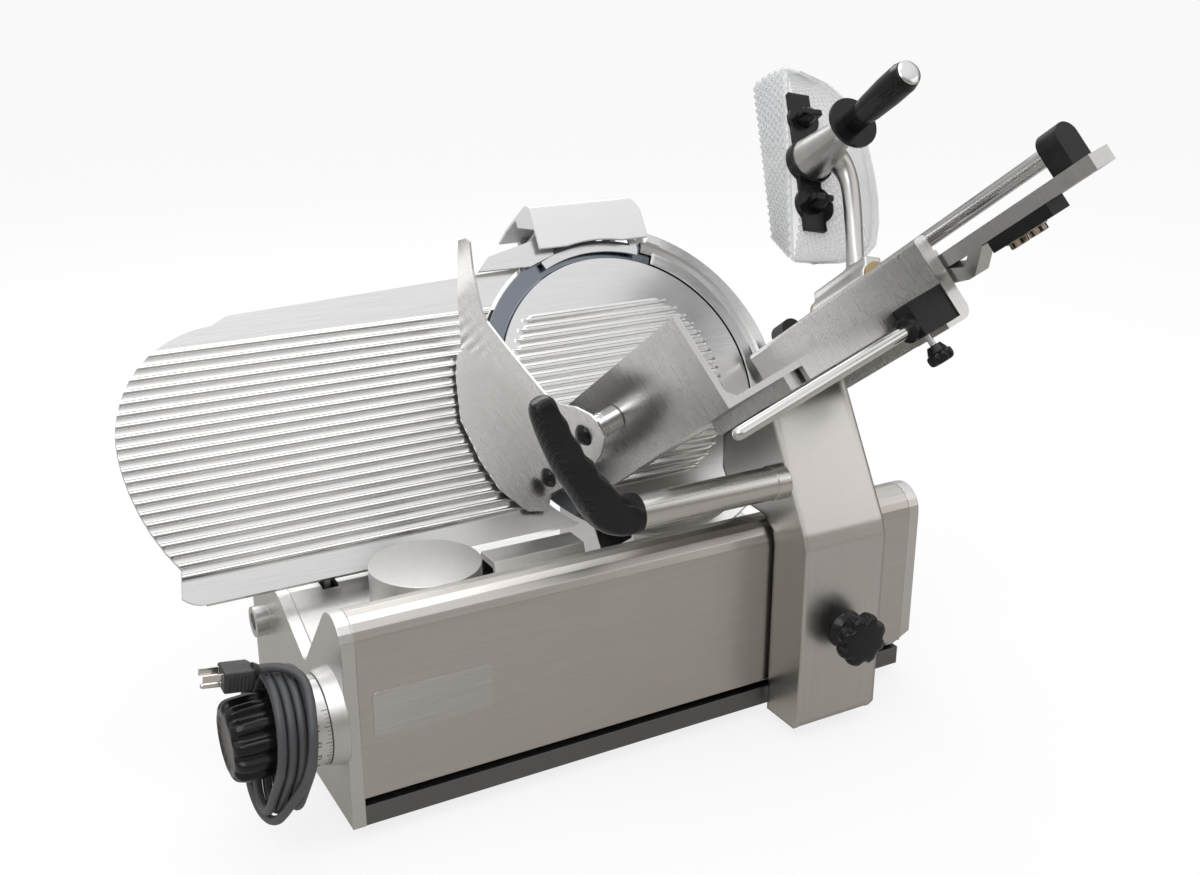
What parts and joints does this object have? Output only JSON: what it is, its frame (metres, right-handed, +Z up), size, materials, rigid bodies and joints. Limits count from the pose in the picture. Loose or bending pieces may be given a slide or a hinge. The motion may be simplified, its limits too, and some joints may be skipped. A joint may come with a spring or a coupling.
{
  "type": "meat slicer",
  "caption": "Gravity-feed meat slicer with a tilted round blade, ribbed gauge plate, sliding tray on an arm, food pusher, sharpener and thickness knob.",
  "frame": {"origin": "on the bench, under the middle of the right front foot", "axes": "+X along the carriage travel, away from the operator; +Y from the carriage side to the side where slices fall; +Z up"},
  "size_m": [0.8385, 0.6157, 0.6196],
  "materials": {
    "cast_aluminium": "satin",
    "cover_sheet": "brushed",
    "polished_steel": "polished",
    "blade_steel": "mirror ground",
    "tray_steel": "satin anodised",
    "cover_enamel": "satin",
    "dark_metal": "machined",
    "black_plastic": "gloss",
    "clear_plastic": "clear moulded",
    "foot_rubber": "matt",
    "cord_rubber": "satin",
    "belt_rubber": "matt",
    "bronze": "turned",
    "stone": "abrasive",
    "start_green": "gloss",
    "stop_red": "gloss"
  },
  "bodies": {
    "base": {"base_casting": "cast_aluminium", "front_cover": "cover_sheet", "left_end_cap": "cast_aluminium", "right_end_cap": "cast_aluminium", "bottom_plate": "dark_metal", "guide_rail": "dark_metal", "slide_rod": "polished_steel", "rubber_feet": "foot_rubber", "index_rod": "polished_steel", "blade_head": "cast_aluminium", "ring_guard": "polished_steel", "blade_spindle": "polished_steel", "blade_bearings": "polished_steel", "motor": "dark_metal", "motor_cover": "cover_sheet", "drive_belt": "belt_rubber", "slice_deflector": "cover_sheet", "switch_box": "black_plastic", "cord_gland": "black_plastic", "power_cord": "cord_rubber", "cord_hank": "cord_rubber", "cord_plug": "black_plastic", "sharpener_base": "polished_steel", "blade_cover": "tray_steel"},
    "blade_unit": {"blade": "blade_steel", "blade_pulley": "dark_metal"},
    "motor_rotor": {"motor_pulley": "dark_metal"},
    "gauge": {"gauge_plate": "tray_steel", "gauge_bracket": "cast_aluminium"},
    "index_knob": {"thickness_knob": "black_plastic", "dial_ring": "cover_enamel", "cam_spindle": "dark_metal"},
    "cover_tie": {"cover_tie_knob": "black_plastic"},
    "sharpener_lid": {"sharpener_cover": "cover_enamel"},
    "stone_slide": {"sharpening_stones": "stone"},
    "start": {"start_button": "start_green"},
    "stop": {"stop_button": "stop_red"},
    "carriage": {"carriage_arm": "cast_aluminium", "slide_block": "dark_metal", "handle_tube": "polished_steel", "handle_grip": "black_plastic", "food_tray": "tray_steel", "fence_sheet": "cover_sheet", "fence_caps": "black_plastic", "rod_clamp": "black_plastic", "guide_beam": "cast_aluminium", "guide_end_caps": "black_plastic", "stop_block": "black_plastic"},
    "support_rod": {"cross_rod": "polished_steel"},
    "rod_screw": {"thumb_screw": "black_plastic"},
    "tray_lock": {"tray_lock_knob": "black_plastic"},
    "pusher_bar": {"guide_bar": "polished_steel"},
    "pusher": {"pusher_carrier": "bronze", "pusher_arm": "cast_aluminium", "guard_disc": "black_plastic", "pusher_handle": "black_plastic", "mounting_plate": "black_plastic", "spike_plate": "clear_plastic"},
    "upper_screw": {"upper_wing_knob": "black_plastic"},
    "lower_screw": {"lower_wing_knob": "black_plastic"}
  },
  "joints": [
    {"name": "carriage_slide", "type": "slide", "parent": "base", "child": "carriage", "axis": [1, 0, 0], "range_m": [-0.29, 0.015]},
    {"name": "blade_spin", "type": "hinge", "parent": "base", "child": "blade_unit", "pos_m": [-0.15, 0.18, 0.285], "axis": [0, -0.8192, 0.5736], "continuous": true},
    {"name": "motor_spin", "type": "hinge", "parent": "base", "child": "motor_rotor", "pos_m": [-0.062, 0.13526, 0.22111], "axis": [0, -0.8192, 0.5736], "continuous": true},
    {"name": "knob_turn", "type": "hinge", "parent": "base", "child": "index_knob", "pos_m": [-0.59, -0.026, 0.112], "axis": [-1, 0, 0], "range_deg": [0, 330]},
    {"name": "gauge_slide", "type": "slide", "parent": "base", "child": "gauge", "axis": [0, 0.8192, -0.5736], "range_m": [0, 0.016]},
    {"name": "tie_knob_turn", "type": "hinge", "parent": "base", "child": "cover_tie", "pos_m": [-0.15, 0.26192, 0.22764], "axis": [0, 0.8192, -0.5736], "range_deg": [0, 360]},
    {"name": "sharpener_lid_hinge", "type": "hinge", "parent": "base", "child": "sharpener_lid", "pos_m": [-0.15, 0.35967, 0.40213], "axis": [-1, 0, 0], "range_deg": [0, 60]},
    {"name": "stone_slide", "type": "slide", "parent": "base", "child": "stone_slide", "axis": [0, -0.5736, -0.8192], "range_m": [0, 0.012]},
    {"name": "start_press", "type": "slide", "parent": "base", "child": "start", "axis": [0, -1, 0], "range_m": [0, 0.003], "stiffness_N_per_m": 200, "springref_m": -0.002},
    {"name": "stop_press", "type": "slide", "parent": "base", "child": "stop", "axis": [0, -1, 0], "range_m": [0, 0.003], "stiffness_N_per_m": 200, "springref_m": -0.002},
    {"name": "support_rod_slide", "type": "slide", "parent": "carriage", "child": "support_rod", "axis": [0.9563, 0.1677, 0.2395], "range_m": [-0.03, 0.2]},
    {"name": "rod_screw_turn", "type": "hinge", "parent": "carriage", "child": "rod_screw", "pos_m": [-0.01383, -0.11016, 0.39538], "axis": [0.2924, -0.5485, -0.7834], "range_deg": [0, 720]},
    {"name": "tray_lock_turn", "type": "hinge", "parent": "carriage", "child": "tray_lock", "pos_m": [-0.082, -0.11, 0.11], "axis": [0, -1, 0], "range_deg": [0, 720]},
    {"name": "pusher_swing", "type": "hinge", "parent": "carriage", "child": "pusher_bar", "pos_m": [0.03471, 0.05554, 0.3862], "axis": [0, -0.8192, 0.5736], "range_deg": [0, 80]},
    {"name": "pusher_slide", "type": "slide", "parent": "pusher_bar", "child": "pusher", "axis": [0, -0.8192, 0.5736], "range_m": [-0.05, 0.24]},
    {"name": "upper_screw_turn", "type": "hinge", "parent": "pusher", "child": "upper_screw", "pos_m": [0.06111, 0.18032, 0.54697], "axis": [0, -0.8192, 0.5736], "range_deg": [0, 360]},
    {"name": "lower_screw_turn", "type": "hinge", "parent": "pusher", "child": "lower_screw", "pos_m": [0.03861, 0.12443, 0.46715], "axis": [0, -0.8192, 0.5736], "range_deg": [0, 360]}
  ],
  "couplings": [
    {"joint": "motor_spin", "follows": "blade_spin", "ratio": 3.75},
    {"joint": "gauge_slide", "follows": "knob_turn", "m_per_rad": 0.002778}
  ]
}
